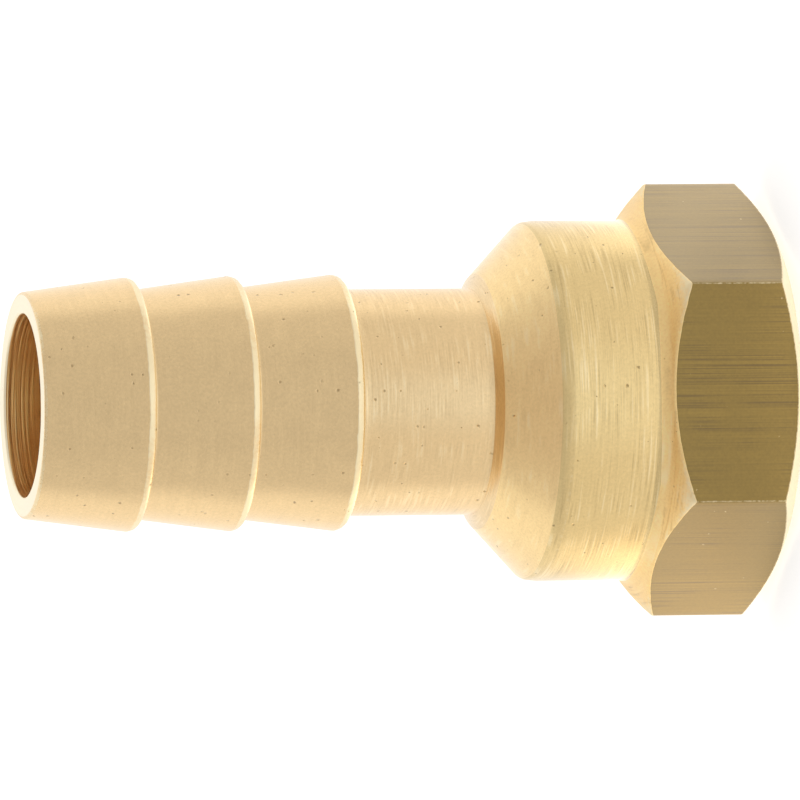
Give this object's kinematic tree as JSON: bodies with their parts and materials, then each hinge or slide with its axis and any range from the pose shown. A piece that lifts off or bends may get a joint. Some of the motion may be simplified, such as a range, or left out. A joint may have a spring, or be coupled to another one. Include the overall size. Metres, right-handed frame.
{
  "type": "hose barb tail",
  "caption": "One-piece turned brass hose tail: barbed tube for a push-on hose, cone and collar, and a hexagon with an internal parallel pipe thread.",
  "frame": {"origin": "centre of the hexagon's end face, where the threaded socket opens", "axes": "+Z along the bore from the threaded socket towards the barbed tip; one pair of hexagon flats faces -Y and +Y, and two corners lie on the X axis"},
  "size_m": [0.0288, 0.025, 0.0502],
  "materials": {
    "brass": "turned and tumbled, satin, with drawn hexagon flats"
  },
  "bodies": {
    "root": {"hose_tail": "brass"}
  },
  "joints": []
}
